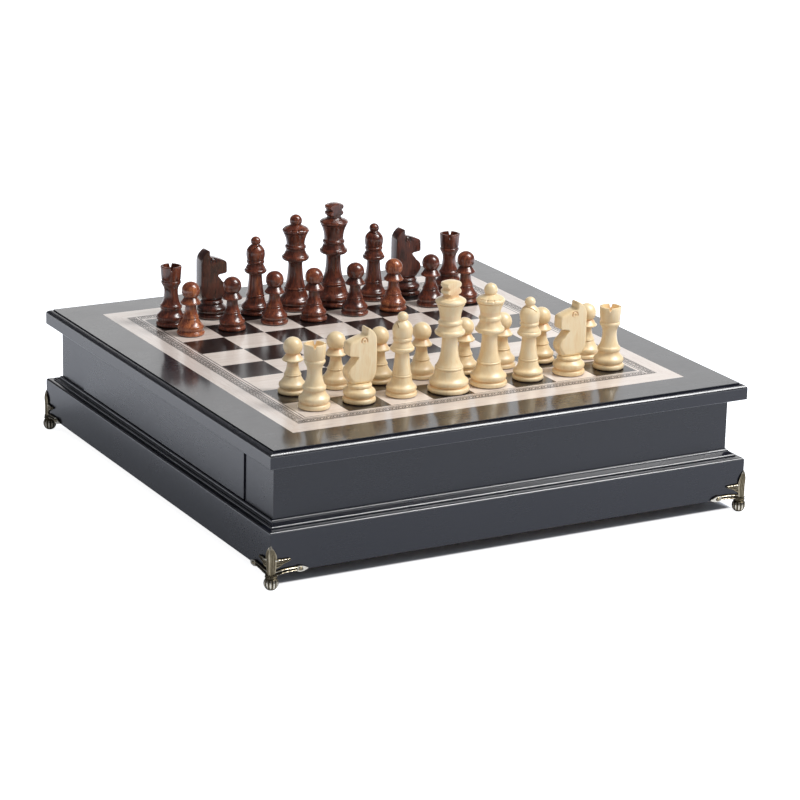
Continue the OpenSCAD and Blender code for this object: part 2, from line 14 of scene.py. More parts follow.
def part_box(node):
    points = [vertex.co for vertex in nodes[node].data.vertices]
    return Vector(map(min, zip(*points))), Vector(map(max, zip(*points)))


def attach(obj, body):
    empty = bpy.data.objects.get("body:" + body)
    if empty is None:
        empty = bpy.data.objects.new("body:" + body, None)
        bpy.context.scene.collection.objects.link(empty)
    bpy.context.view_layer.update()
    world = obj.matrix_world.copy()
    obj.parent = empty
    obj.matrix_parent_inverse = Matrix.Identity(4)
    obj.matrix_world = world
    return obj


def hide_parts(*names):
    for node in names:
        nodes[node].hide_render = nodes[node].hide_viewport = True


MM = 0.001
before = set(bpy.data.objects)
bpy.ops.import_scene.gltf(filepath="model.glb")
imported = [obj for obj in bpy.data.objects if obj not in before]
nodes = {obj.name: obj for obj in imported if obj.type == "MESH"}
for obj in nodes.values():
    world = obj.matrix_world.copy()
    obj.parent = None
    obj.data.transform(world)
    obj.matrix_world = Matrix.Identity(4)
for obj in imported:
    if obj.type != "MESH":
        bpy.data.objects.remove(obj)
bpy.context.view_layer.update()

# Sizes shared with the CAD source, in millimetres
SQUARE = 40.0
FIELD = 4 * SQUARE
BOARD_Z = 115.0
PLINTH_Z = 13.5
BASE_W, BASE_D = 455.0, 467.0


def added(name, data):
    """A new object in the scene."""
    made = bpy.data.objects.new(name, data)
    bpy.context.scene.collection.objects.link(made)
    return made


def added_mesh(name, points, faces):
    """A new mesh object in the scene."""
    mesh = bpy.data.meshes.new(name)
    mesh.from_pydata(points, [], faces)
    return added(name, mesh)


# ---- Camera: its place in metres, its angles in degrees and its lens in millimetres

CAMERA_PLACE = (-1.25271, -2.30230, 0.87691)
CAMERA_AZIMUTH = -28.8573
CAMERA_ELEVATION = 17.2289
CAMERA_ROLL = 1.2802
CAMERA_LENS = 138.754


def make_camera():
    data = bpy.data.cameras.new("camera")
    data.lens = CAMERA_LENS
    data.sensor_width = 36.0
    data.clip_start, data.clip_end = 0.1, 60.0
    camera = added("camera", data)
    turn = Matrix.Rotation(math.radians(CAMERA_AZIMUTH), 4, "Z")
    tilt = Matrix.Rotation(math.radians(90 - CAMERA_ELEVATION), 4, "X")
    roll = Matrix.Rotation(math.radians(CAMERA_ROLL), 4, "Z")
    camera.matrix_world = Matrix.Translation(CAMERA_PLACE) @ turn @ tilt @ roll
    bpy.context.scene.camera = camera


# ---- Material helpers

def srgb(r, g, b):
    """A colour given as 0-255 sRGB, as linear values."""
    def linear(c):
        c /= 255
        return c / 12.92 if c <= 0.04045 else ((c + 0.055) / 1.055) ** 2.4
    return (linear(r), linear(g), linear(b), 1.0)


class Nodes:
    """Builds the nodes of a shader."""

    def __init__(self, tree):
        self.tree = tree

    def node(self, kind, inputs=(), **fields):
        """A node with its fields set, and its inputs by name or number as values or links."""
        made = self.tree.nodes.new(kind)
        for key, value in fields.items():
            setattr(made, key, value)
        for key, value in dict(inputs).items():
            self.put(made.inputs[key], value)
        return made

    def put(self, socket, value):
        if isinstance(value, bpy.types.NodeSocket):
            self.tree.links.new(value, socket)
        else:
            socket.default_value = value

    def axes(self, vector):
        return self.node("ShaderNodeSeparateXYZ", {0: vector}).outputs

    def attribute(self, name):
        return self.node("ShaderNodeAttribute", attribute_name=name).outputs["Fac"]

    def mapped(self, vector, scale, turn=(0, 0, 0)):
        turn = [math.radians(a) for a in turn]
        inputs = {"Vector": vector, "Scale": scale, "Rotation": turn}
        return self.node("ShaderNodeMapping", inputs).outputs[0]

    def noise(self, vector, scale=1.0, detail=3.0, roughness=0.55, distortion=0.0):
        inputs = {"Vector": vector, "Scale": scale, "Detail": detail, "Roughness": roughness,
                  "Distortion": distortion}
        return self.node("ShaderNodeTexNoise", inputs).outputs[0]

    def maths(self, operation, a, *others):
        for b in others or (0.0,):
            a = self.node("ShaderNodeMath", {0: a, 1: b}, operation=operation).outputs[0]
        return a

    def span(self, value, low, high, to_low=0.0, to_high=1.0):
        inputs = enumerate((value, low, high, to_low, to_high))
        return self.node("ShaderNodeMapRange", inputs, clamp=True).outputs[0]

    def ramp(self, value, *stops):
        """A colour by value, from stops given as (value, r, g, b)."""
        made = self.node("ShaderNodeValToRGB", {0: value})
        elements = made.color_ramp.elements
        while len(elements) < len(stops):
            elements.new(0.5)
        for element, (place, *colour) in zip(elements, stops):
            element.position = place
            element.color = srgb(*colour)
        return made.outputs[0]

    def mix(self, share, a, b, blend="MIX"):
        return self.node("ShaderNodeMix", {0: share, 6: a, 7: b}, data_type="RGBA",
                         blend_type=blend).outputs[2]

    def bump(self, height, depth, normal=None):
        """A relief of the given depth in millimetres."""
        inputs = {"Strength": 1.0, "Distance": depth * MM, "Height": height}
        if normal is not None:
            inputs["Normal"] = normal
        return self.node("ShaderNodeBump", inputs).outputs[0]


class Finish(Nodes):
    """A procedural material. Its coordinates mm are the piece's own, in millimetres."""

    def __init__(self, name):
        self.material = bpy.data.materials.new(name)
        self.material.use_nodes = True
        super().__init__(self.material.node_tree)
        own = self.node("ShaderNodeTexCoord").outputs["Object"]
        self.mm = self.mapped(own, (1 / MM, 1 / MM, 1 / MM))

    def set(self, **values):
        """Principled sockets by name, spaces written as underscores."""
        for key, value in values.items():
            self.put(self.tree.nodes["Principled BSDF"].inputs[key.replace("_", " ")], value)


# Scales of the coordinates that make the grain run along an axis
GRAIN_ALONG = {"x": (0.06, 1, 1), "y": (1, 0.06, 1)}


def black_lacquer(name, along):
    f = Finish(name)
    fibres = f.noise(f.mapped(f.mm, GRAIN_ALONG[along]), 0.9, 5, 0.6, 0.4)
    haze = f.noise(f.mm, 0.018, 4, 0.6)
    dust = f.noise(f.mm, 1.9, 2, 0.5)
    peel = f.noise(f.mm, 0.22, 2, 0.5)
    tone = f.mix(haze, (0.0045, 0.0055, 0.0115, 1), (0.0070, 0.0080, 0.0150, 1))
    tone = f.mix(f.span(fibres, 0.56, 0.8, 0, 0.5), tone, (0.013, 0.013, 0.018, 1))
    tone = f.mix(f.span(dust, 0.68, 0.8, 0, 0.3), tone, (0.04, 0.04, 0.05, 1))
    rough = f.maths("ADD", f.span(haze, 0.3, 0.7, 0.24, 0.32), f.span(fibres, 0.4, 0.8, 0, 0.07))
    relief = f.bump(peel, 0.010, f.bump(fibres, 0.004))
    f.set(Base_Color=tone, Roughness=rough, Normal=relief, Coat_Normal=f.bump(peel, 0.006))
    # Rounded edges and mouldings are rubbed down by hand and less mirror-like than the flats
    facing = f.axes(f.node("ShaderNodeTexCoord").outputs["Normal"])
    upright = f.maths("ABSOLUTE", facing[2])
    curved = f.maths("MULTIPLY", f.span(upright, 0.05, 0.15), f.span(upright, 0.95, 0.90))
    f.set(Coat_Roughness=f.span(curved, 0, 1, 0.11, 0.32),
          Specular_IOR_Level=f.span(curved, 0, 1, 0.2, 1.0), Coat_Weight=1.0, Coat_IOR=1.5)
    return f.material


def field_masks(f):
    """(inside the field, on a side margin) as values of 0 or 1."""
    x, y, _ = f.axes(f.mm)
    ax, ay = f.maths("ABSOLUTE", x), f.maths("ABSOLUTE", y)
    inside = f.maths("LESS_THAN", f.maths("MAXIMUM", ax, ay), FIELD + 0.1)
    return inside, f.maths("GREATER_THAN", ax, ay)


def square_coords(f):
    """A steady random value for each square, and coordinates that jump at the squares' joints."""
    cell = f.mapped(f.mm, (1 / SQUARE, 1 / SQUARE, 0))
    floor = f.node("ShaderNodeVectorMath", {0: cell}, operation="FLOOR").outputs[0]
    steady = f.node("ShaderNodeTexWhiteNoise", {"Vector": floor}, noise_dimensions="3D").outputs
    longest_jump = (310, 270, 90)
    jump = f.node("ShaderNodeVectorMath", {0: steady["Color"], 1: longest_jump, 2: f.mm},
                  operation="MULTIPLY_ADD")
    return steady["Value"], jump.outputs[0]


def polish(f):
    """The slow waves of a rubbed polish, for the coat's normal."""
    return f.bump(f.noise(f.mm, 0.15, 2, 0.5), 0.01)


def light_veneer(name):
    f = Finish(name)
    inside, side = field_masks(f)
    number, own = square_coords(f)
    spread = {}
    for key, source, along in (("square", own, "x"), ("long", f.mm, "x"), ("side", f.mm, "y")):
        stretched = f.mapped(source, GRAIN_ALONG[along])
        fibre = f.noise(stretched, 1.5, 5, 0.62, 0.6)
        broad = f.noise(stretched, 0.16, 3, 0.5, 1.2)
        spread[key] = f.maths("ADD", f.maths("MULTIPLY", fibre, 0.62),
                              f.maths("MULTIPLY", broad, 0.38))
    margin = f.mix(side, spread["long"], spread["side"])
    grain = f.mix(inside, margin, spread["square"])
    square_tone = f.ramp(grain, (0.30, 214, 198, 184), (0.46, 240, 227, 217),
                         (0.62, 247, 237, 229))
    margin_tone = f.ramp(grain, (0.30, 200, 182, 170), (0.46, 226, 214, 206),
                         (0.62, 234, 225, 219))
    dimmed = f.mix(f.span(number, 0, 1, 0, 0.10), square_tone, srgb(190, 174, 158), "MULTIPLY")
    tone = f.mix(inside, margin_tone, dimmed)
    flecks = f.noise(f.mapped(f.mm, (0.35, 1, 1)), 2.6, 2, 0.5)
    tone = f.mix(f.span(flecks, 0.63, 0.74, 0, 0.4), tone, srgb(140, 116, 98))
    f.set(Base_Color=tone, Roughness=f.span(grain, 0.3, 0.7, 0.42, 0.32),
          Normal=f.bump(grain, 0.02), Coat_Normal=polish(f),
          Coat_Weight=0.85, Coat_Roughness=0.17, Specular_IOR_Level=0.3)
    return f.material


def dark_veneer(name):
    f = Finish(name)
    number, own = square_coords(f)
    fibre = f.noise(f.mapped(own, GRAIN_ALONG["x"]), 1.4, 5, 0.65, 0.5)
    tone = f.ramp(fibre, (0.35, 21, 18, 18), (0.58, 34, 28, 27), (0.74, 58, 44, 38))
    tone = f.mix(f.span(number, 0, 1, 0, 0.5), tone, srgb(20, 18, 19))
    f.set(Base_Color=tone, Roughness=f.span(fibre, 0.3, 0.7, 0.32, 0.42),
          Normal=f.bump(fibre, 0.02), Coat_Normal=polish(f),
          Coat_Weight=0.85, Coat_Roughness=0.15, Specular_IOR_Level=0.3)
    return f.material


def line_veneer(name):
    f = Finish(name)
    worn = f.noise(f.mm, 1.6, 4, 0.6)
    tone = f.ramp(worn, (0.3, 22, 20, 21), (0.6, 38, 34, 34), (0.78, 84, 76, 70))
    f.set(Base_Color=tone, Roughness=f.span(worn, 0.3, 0.7, 0.3, 0.45),
          Normal=f.bump(worn, 0.01), Coat_Weight=0.7, Coat_Roughness=0.18, Specular_IOR_Level=0.3)
    return f.material


def plain_wood(name, along):
    f = Finish(name)
    stretched = f.mapped(f.mm, GRAIN_ALONG[along])
    rings = f.node("ShaderNodeTexWave", {"Vector": stretched, "Scale": 0.035, "Distortion": 9.0,
                                         "Detail": 3.0, "Detail Scale": 0.6},
                   wave_type="BANDS", bands_direction="DIAGONAL")
    fibre = f.noise(stretched, 1.6, 5, 0.65)
    tone = f.ramp(rings.outputs["Fac"], (0.1, 222, 190, 142), (0.7, 214, 178, 128),
                  (0.95, 198, 156, 104))
    tone = f.mix(f.span(fibre, 0.35, 0.75, 0, 0.5), tone, srgb(194, 156, 108))
    f.set(Base_Color=tone, Roughness=f.span(fibre, 0.3, 0.7, 0.5, 0.68),
          Normal=f.bump(fibre, 0.06), Specular_IOR_Level=0.35)
    return f.material


def turned_wood(name, ramp_stops, pore_tone, pore_share, painted_groove_shade, painted_deep_shade, rough,
                coat_rough):
    """Wood of a man, its grain along the man's axis.

    The attribute shade moves its tone along the ramp. The attribute groove runs from 0 on the
    turned surface to 1 deep in a groove, and to 2 in the knight's pupil. The tone is darkened by
    it as painted shade in the grooves, and a painted contact shade darkens the bottom of the foot.
    """
    f = Finish(name)
    stretched = f.mapped(f.mm, (1, 1, 0.09), turn=(4, -3, 0))
    fibre = f.noise(stretched, 0.85, 5, 0.62, 0.9)
    broad = f.noise(f.mapped(f.mm, (1, 1, 0.3)), 0.11, 3, 0.5, 1.4)
    grain = f.maths("ADD", f.maths("MULTIPLY", fibre, 0.5), f.maths("MULTIPLY", broad, 0.5))
    tone = f.ramp(f.maths("ADD", grain, f.attribute("shade")), *ramp_stops)
    pores = f.noise(f.mapped(f.mm, (1, 1, 0.16)), 3.2, 2, 0.5)
    tone = f.mix(f.span(pores, 0.6, 0.75, 0, pore_share), tone, pore_tone)
    # Painted shade: the tone darkens into the turned grooves, most in the knight's brow and pupil
    groove = f.attribute("groove")
    depth = f.maths("MINIMUM", groove, 1.0)
    tone = f.mix(f.maths("MULTIPLY", depth, f.span(broad, 0.3, 0.7, 0.6, 0.9)), tone, painted_groove_shade)
    tone = f.mix(f.span(groove, 1, 2, 0, 0.8), tone, painted_deep_shade)
    # Painted contact shade: the bottom millimetre of each man darkens where its foot meets the
    # board
    low = f.span(f.axes(f.mm)[2], BOARD_Z + 1.3, BOARD_Z + 0.5, 0, 0.85)
    tone = f.mix(low, tone, painted_deep_shade)
    lathe_lines = f.noise(f.mapped(f.mm, (0.03, 0.03, 1)), 2.4, 2, 0.5)
    relief = f.bump(lathe_lines, 0.012, f.bump(fibre, 0.02))
    f.set(Base_Color=tone, Normal=relief,
          Roughness=f.span(fibre, 0.3, 0.7, rough - 0.04, rough + 0.06),
          Coat_Weight=1.0, Coat_Roughness=coat_rough, Coat_IOR=1.5, Specular_IOR_Level=0.5)
    return f.material


def pale_boxwood(name):
    return turned_wood(
        name,
        ramp_stops=((0.30, 241, 208, 155), (0.48, 249, 223, 176), (0.66, 252, 233, 194)),
        pore_tone=srgb(226, 188, 130), pore_share=0.12, painted_groove_shade=srgb(228, 162, 90),
        painted_deep_shade=srgb(104, 66, 34), rough=0.42, coat_rough=0.32)


def red_brown_wood(name):
    return turned_wood(
        name,
        ramp_stops=((0.32, 52, 25, 18), (0.46, 92, 43, 29), (0.58, 134, 69, 44),
                    (0.72, 196, 118, 72)),
        pore_tone=srgb(34, 16, 12), pore_share=0.6, painted_groove_shade=srgb(24, 10, 8),
        painted_deep_shade=srgb(20, 12, 10), rough=0.30, coat_rough=0.19)


def green_felt(name):
    f = Finish(name)
    fuzz = f.noise(f.mm, 3.4, 4, 0.7)
    matted = f.noise(f.mm, 0.12, 4, 0.6)
    hairs = f.noise(f.mapped(f.mm, (1, 0.12, 1), turn=(0, 0, 35)), 2.8, 3, 0.6)
    tone = f.ramp(fuzz, (0.3, 16, 54, 38), (0.5, 27, 80, 56), (0.72, 48, 108, 78))
    tone = f.mix(f.span(matted, 0.35, 0.7, 0, 0.5), tone, srgb(22, 68, 48))
    tone = f.mix(f.span(hairs, 0.6, 0.78, 0, 0.35), tone, srgb(82, 134, 104))
    f.set(Base_Color=tone, Roughness=0.95, Normal=f.bump(fuzz, 0.35, f.bump(hairs, 0.15)),
          Sheen_Weight=0.45, Sheen_Roughness=0.4, Specular_IOR_Level=0.15)
    return f.material


def aged_brass(name, relief_name=None):
    """Brass, dark in the hollows and rubbed bright on the ridges of the named relief."""
    f = Finish(name)
    patina = f.noise(f.mm, 0.35, 5, 0.65, 0.3)
    grit = f.noise(f.mm, 2.6, 3, 0.6)
    tone = f.mix(f.span(patina, 0.35, 0.7), srgb(150, 136, 108), srgb(184, 171, 142))
    if relief_name:
        height = f.maths("ADD", f.attribute(relief_name), f.span(grit, 0.2, 0.8, -0.10, 0.10))
        tone = f.mix(f.span(height, 0.25, 0.62), srgb(42, 38, 30), tone)
        tone = f.mix(f.span(height, 0.6, 0.9), tone, srgb(244, 238, 222))
        rough = f.span(height, 0.3, 0.9, 0.5, 0.24)
    else:
        rough = f.span(patina, 0.3, 0.7, 0.3, 0.45)
    f.set(Base_Color=tone, Roughness=rough, Normal=f.bump(grit, 0.05, f.bump(patina, 0.08)),
          Metallic=1.0)
    return f.material


def catch_steel(name):
    f = Finish(name)
    brushed = f.noise(f.mapped(f.mm, GRAIN_ALONG["x"]), 4.0, 4, 0.6)
    stain = f.noise(f.mm, 0.1, 4, 0.6)
    tone = f.mix(brushed, srgb(166, 168, 172), srgb(196, 198, 202))
    tone = f.mix(f.span(stain, 0.5, 0.8, 0, 0.4), tone, srgb(140, 138, 134))
    f.set(Base_Color=tone, Roughness=f.span(brushed, 0.3, 0.7, 0.28, 0.42),
          Normal=f.bump(brushed, 0.01), Metallic=1.0)
    return f.material


# ---- Mesh helpers

def piece(name, points, faces, material, body, slot, stands_for=(), crease=38):
    """A mesh piece from points in millimetres, smooth but where it bends by more than crease."""
    made = added_mesh(name, [tuple(float(c) * MM for c in p) for p in points], faces)
    mesh = made.data
    mesh.validate()
    mesh.shade_smooth()
    mesh.set_sharp_from_angle(angle=math.radians(crease))
    mesh.materials.append(material)
    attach(made, body)
    if stands_for:
        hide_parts(*stands_for)
    return made


def point_values(made, **values):
    """Stores a number for each point under each name, for the material to read."""
    for name, numbers in values.items():
        made.data.attributes.new(name, "FLOAT", "POINT").data.foreach_set("value", numbers)


def arc(c, r, a, b, steps=10):
    """An elliptic arc round c from angle a to angle b, in degrees."""
    angles = [math.radians(a + (b - a) * k / steps) for k in range(steps + 1)]
    return [(c[0] + r[0] * math.cos(t), c[1] + r[1] * math.sin(t)) for t in angles]


def bead(r, swell, low, high, steps=12):
    """A half-round ring of outer radius r between two heights."""
    return arc((r - swell, (low + high) / 2), (swell, (high - low) / 2), -90, 90, steps)


def bend(a, b, c, steps=12):
    """A smooth curve from a to c, drawn towards b."""
    return [tuple((1 - t) ** 2 * a[i] + 2 * t * (1 - t) * b[i] + t * t * c[i] for i in (0, 1))
            for t in (k / steps for k in range(steps + 1))]


def fitted(points, base, height):
    """A profile of (radius, height) scaled to the width of its base and its height."""
    wide = max(p[0] for p in points)
    tall = max(p[1] for p in points)
    return [(p[0] * base / 2 / wide, p[1] * height / tall) for p in points]


def eased(points, cut=0.22, corner=24):
    """Takes the sharpness off a profile's corners."""
    out = [points[0]]
    for a, b, c in zip(points, points[1:], points[2:]):
        before, after = Vector(b) - Vector(a), Vector(c) - Vector(b)
        if before.length < 1e-6 or after.length < 1e-6:
            continue
        if math.degrees(before.angle(after)) < corner:
            out.append(b)
            continue
        out.append(tuple(Vector(b) - before * min(cut / before.length, 0.4)))
        out.append(tuple(Vector(b) + after * min(cut / after.length, 0.4)))
    out.append(points[-1])
    return out


def lathe(profile, segments=64, reshape=None):
    """(points, faces) of a turned solid whose profile starts and ends on the axis."""
    rings = profile[1:-1]
    points = [(0, 0, profile[0][1])]
    for r, z in rings:
        for k in range(segments):
            angle = 2 * math.pi * k / segments
            rr, zz = reshape(angle, r, z) if reshape else (r, z)
            points.append((rr * math.cos(angle), rr * math.sin(angle), zz))
    points.append((0, 0, profile[-1][1]))
    last = len(points) - 1
    faces = []
    for k in range(segments):
        n = (k + 1) % segments
        faces.append((0, 1 + n, 1 + k))
        top = 1 + (len(rings) - 1) * segments
        faces.append((last, top + k, top + n))
        for j in range(len(rings) - 1):
            a, b = 1 + j * segments, 1 + (j + 1) * segments
            faces.append((a + k, a + n, b + n, b + k))
    return points, faces


def block(low, high):
    """(points, faces) of a box."""
    points = [(x, y, z) for z in (low[2], high[2]) for y in (low[1], high[1])
              for x in (low[0], high[0])]
    faces = [(0, 2, 3, 1), (4, 5, 7, 6), (0, 1, 5, 4), (2, 6, 7, 3), (0, 4, 6, 2), (1, 3, 7, 5)]
    return points, faces


def joined(*parts):
    """One (points, faces) from several."""
    points, faces = [], []
    for own_points, own_faces in parts:
        start = len(points)
        points += list(own_points)
        faces += [tuple(start + i for i in face) for face in own_faces]
    return points, faces


def turned_over(faces):
    return [tuple(reversed(face)) for face in faces]


def rotation(degrees, axis):
    return Matrix.Rotation(math.radians(degrees), 4, axis)


def placed(part, matrix):
    points, faces = part
    return [tuple(matrix @ Vector(p)) for p in points], faces


# The relief of surfaces that lie against the plinth or on the axis of a foot's ball
BACK_RELIEF = 0.2


def closed_sheet(rows, columns, place):
    """(points, faces, values) of a thin closed sheet.

    place(t, v), with t from 0 to 1 and v from -1 to 1, gives the point on the outer surface, the
    point behind it and the outer point's value.
    """
    found = [place(i / rows, 2 * j / columns - 1)
             for i in range(rows + 1) for j in range(columns + 1)]
    points = [outer for outer, _, _ in found] + [inner for _, inner, _ in found]
    values = [value for *_, value in found] + [BACK_RELIEF] * len(found)
    width, size = columns + 1, len(found)
    faces = []
    for i in range(rows):
        for j in range(columns):
            a = i * width + j
            faces.append((a, a + 1, a + width + 1, a + width))
            faces.append((size + a, size + a + width, size + a + width + 1, size + a + 1))
    top = rows * width
    border = [*range(columns), *range(columns, top, width), *range(size - 1, top, -1),
              *range(top, 0, -width)]
    for a, b in zip(border, border[1:] + border[:1]):
        faces.append((b, a, size + a, size + b))
    return points, faces, values


def cut_away(part, *cutters):
    """The part with the cutters taken out of it."""
    made = [added_mesh("cut", [tuple(p) for p in points], faces)
            for points, faces in (part, *cutters)]
    for cutter in made[1:]:
        modifier = made[0].modifiers.new("cut", "BOOLEAN")
        modifier.object = cutter
        modifier.operation = "DIFFERENCE"
        modifier.solver = "EXACT"
    bpy.context.view_layer.update()
    result = made[0].evaluated_get(bpy.context.evaluated_depsgraph_get()).to_mesh()
    out = ([tuple(v.co) for v in result.vertices], [tuple(p.vertices) for p in result.polygons])
    for one in made:
        bpy.data.objects.remove(one)
    return out


# ---- Chessmen: profiles as (radius, height), in the proportions of the full-size men

KING = [(0, 0), *bead(18, 1.6, 0, 4.7), (15.2, 5),
        *arc((14, 8.4), (2.9, 3), -55, 60), *bend((15.2, 11.2), (12.7, 12.8), (12, 19), 8),
        *bead(12.2, 0.8, 19.6, 21.8, 8),
        *bend((11.5, 22.2), (6.8, 28), (6.7, 46)), (7.2, 47.6), (11.2, 49),
        *bead(12.9, 1.6, 49.4, 53.4), (10.9, 54), (9.8, 57), (9.2, 58),
        *bead(10.2, 0.8, 58.6, 61.6, 8), *bend((8.9, 62.2), (8.8, 70), (12.2, 76)),
        *bead(13.1, 1.8, 76.4, 80.2), (11, 80.8), (7.2, 81.8), (6.4, 83.6),
        *bead(8.7, 1.8, 85, 89), (7.6, 89.8), *bead(8.8, 1.6, 90.6, 94.8), (4, 95.9), (0, 96)]

QUEEN = [(0, 0), *bead(16.2, 1.5, 0, 4.5), (14, 4.8),
         *arc((12.6, 8), (2.9, 3), -55, 55), *bend((14, 10.7), (11.3, 12.6), (10.2, 18.8), 8),
         *bead(10.45, 0.8, 19.4, 21.4, 8),
         *bend((9.7, 21.8), (7, 28), (6.5, 43)), (7, 45.2), (11.2, 46.8),
         *bead(12.6, 1.5, 47.2, 51), (10.4, 52.4), (9, 55.4), (8.7, 56.8),
         *bead(9.7, 0.8, 57.4, 60.6, 8), *bend((8.4, 61.2), (8.5, 67), (11.4, 72)),
         *bead(12.3, 1.8, 72.4, 76.2), (10.9, 76.7), (7.4, 78.5), (4.9, 79.6),
         *arc((0, 83.2), (5.8, 5.8), -36, 90, 16)]

BISHOP = [(0, 0), *bead(13.5, 1.3, 0, 4), (11.7, 4.3),
          *arc((10.4, 7), (2.5, 2.5), -55, 55), *bend((11.6, 9.2), (9, 10.6), (8.4, 16.2), 8),
          *bead(8.6, 0.7, 16.8, 18.8, 8),
          *bend((8.1, 19.2), (6.9, 24), (6, 36.4)), (6.3, 37.8), (9, 38.8),
          *bead(10.3, 1.3, 39.2, 42.6), (9, 43.6), (8, 45.4), (7.3, 47),
          *bead(8.2, 0.7, 47.8, 50.6, 8), (7.7, 51.2),
          *bend((7.9, 51.4), (9.5, 58.4), (7.4, 61.4), 10),
          *bend((7.4, 61.4), (5.8, 63.8), (3.7, 65.2), 8),
          *arc((0, 68.1), (4.6, 4.3), -38, 90, 14)]

ROOK = [(0, 0), *bead(13.6, 1.3, 0, 4.4), (11.8, 4.8),
        *arc((10.5, 8), (2.6, 3), -50, 60), *bend((11.5, 11), (9.6, 12.6), (9.1, 15.4), 8),
        *bead(10, 1, 15.8, 19.6), *bend((8.6, 20.2), (6.2, 25), (6.2, 33)),
        *bend((6.2, 33), (6.6, 36.4), (8.3, 38.4), 8), *bead(9, 0.8, 38.8, 41.8, 8),
        (8.4, 42.4), (8.7, 43), (9.6, 54.7), (9.3, 55.2), (7.5, 55.2), (7, 49.6), (0, 49.6)]

PAWN = [(0, 0), *bead(12.5, 1.2, 0, 3.7), (11, 4),
        *arc((9.2, 7.2), (2.5, 2.9), -55, 50), *bend((10.6, 9.6), (8.6, 11.4), (7.2, 15), 8),
        *bead(7.4, 0.6, 15.4, 17.2, 8),
        *bend((6.9, 17.6), (5, 20.4), (4.8, 27)), (5, 27.8), (8.3, 28.2),
        *bead(9.1, 0.8, 28.4, 30.2, 8), (5.8, 34.3), *arc((0, 40.3), (8.2, 8.2), -46, 90, 18)]

KNIGHT_FOOT = [(0, 0), *bead(14.1, 1.3, 0, 4.4), (12.2, 4.8),
               *arc((11, 8.3), (2.8, 3.1), -55, 60), (10.2, 12.8),
               *bead(10.6, 0.8, 13.2, 15.8, 8), (9.6, 16.4), (0, 16.4)]

# The outline of the knight's head seen from its side, as (x, height)
KNIGHT_HEAD = [*bend((-8, 16.2), (-13.6, 19.5), (-13, 34)), (-13, 52),
               *bend((-13, 54), (-12.2, 59.6), (-6.8, 63.2), 8),
               *bend((-6.6, 63.4), (-4.4, 64.6), (-4.3, 61.6), 6), (-4.4, 58.6), (-3.4, 57.3),
               (1.6, 56.2), (9.6, 53.4), (11.4, 52.4), (12.4, 50.8), (12.5, 42.4), (11.8, 41.3),
               (4.4, 40.3), (3.6, 39.3), (6.1, 36.6),
               *bend((8.2, 33.6), (18.2, 27.1), (8.2, 16.2))]

KING_HEIGHT = 96
BISHOP_BASE, BISHOP_HEIGHT = 27, 72.4
ROOK_BASE, ROOK_HEIGHT = 27.2, 55.2
KNIGHT_THICKNESS = 12.0
# Each profile at the width of its foot and its height
TURNED = {"king": fitted(KING, 36, KING_HEIGHT), "queen": fitted(QUEEN, 32.4, 89),
          "bishop": fitted(BISHOP, BISHOP_BASE, BISHOP_HEIGHT),
          "knight": fitted(KNIGHT_FOOT, 28.2, 16.4),
          "rook": fitted(ROOK, ROOK_BASE, ROOK_HEIGHT), "pawn": fitted(PAWN, 25, 48.5)}


def queen_crown(angle, r, z):
    """Small notches cut into the rim of the queen's coronet."""
    notches, sharpness, deepest = 12, 0.42, 0.95
    rim_z, rim_r, fade = 74.3, 9, 1.4
    if z <= rim_z or r <= rim_r:
        return r, z
    wave = abs(math.cos(notches / 2 * angle))
    depth = deepest * max(0.0, 1 - wave / sharpness) * min(1.0, (z - rim_z) / fade)
    return r - depth, z - 0.5 * depth


def resampled(points, step):
    """A closed outline with points at even distances."""
    loop = [Vector(p) for p in points] + [Vector(points[0])]
    lengths = [0.0]
    for a, b in zip(loop, loop[1:]):
        lengths.append(lengths[-1] + (b - a).length)
    count = int(lengths[-1] / step)
    out, at = [], 0
    for k in range(count):
        place = lengths[-1] * k / count
        while lengths[at + 1] < place:
            at += 1
        share = (place - lengths[at]) / max(lengths[at + 1] - lengths[at], 1e-9)
        out.append(loop[at].lerp(loop[at + 1], share))
    return np.array([tuple(p) for p in out])


def smoothed(loop, passes):
    for _ in range(passes):
        loop = 0.5 * loop + 0.25 * (np.roll(loop, 1, 0) + np.roll(loop, -1, 0))
    return loop


def turn_of(loop):
    """1 if a closed outline runs anticlockwise, or else -1."""
    after = np.roll(loop, -1, 0)
    return np.sign(np.sum(loop[:, 0] * after[:, 1] - after[:, 0] * loop[:, 1]))


def outward(loop):
    """Outward unit normals of a closed outline."""
    along = np.roll(loop, -1, 0) - np.roll(loop, 1, 0)
    normal = np.stack([along[:, 1], -along[:, 0]], 1)
    return turn_of(loop) * normal / np.linalg.norm(normal, axis=1)[:, None]


def squared_gaps(points, others):
    """The squared distance from each point to each other point."""
    return ((points[:, None, :] - others[None, :, :]) ** 2).sum(2)


def soft_step(value, low, high):
    t = np.clip((value - low) / (high - low), 0, 1)
    return t * t * (3 - 2 * t)


# The bevel round the knight's cheek: (x, height, width, depth) at places on its outline
CHEEK_BEVELS = [
    (-13, 34, 1.1, 0.55), (-13, 52, 1.1, 0.55), (-11.5, 59.5, 1.4, 0.6), (-6.6, 63.4, 1.0, 0.5),
    (-4.3, 61, 1.0, 0.5), (-3.4, 57.3, 1.1, 0.5), (2, 56, 2.0, 0.7), (9, 53.5, 2.0, 0.7),
    (12.3, 50.8, 0.9, 0.5), (12.5, 46, 0.5, 0.3), (12, 42, 0.5, 0.3), (8, 40.9, 0.4, 0.3),
    (4, 40, 0.5, 0.3), (6.1, 36.6, 0.6, 0.3), (11.5, 31, 0.7, 0.35), (13.2, 27, 0.8, 0.4),
    (12.2, 21, 2.4, 1.6), (8.5, 17, 3.4, 2.4), (0, 16.2, 2.3, 2.2), (-8, 16.4, 3.6, 2.4),
    (-11.5, 19.5, 2.6, 1.6), (-12.9, 26, 1.3, 0.7)]

KNIGHT_STEP = 0.5
CHEEK_INSET = 0.3
KNIGHT_EYE = (-1.1, 53.2)
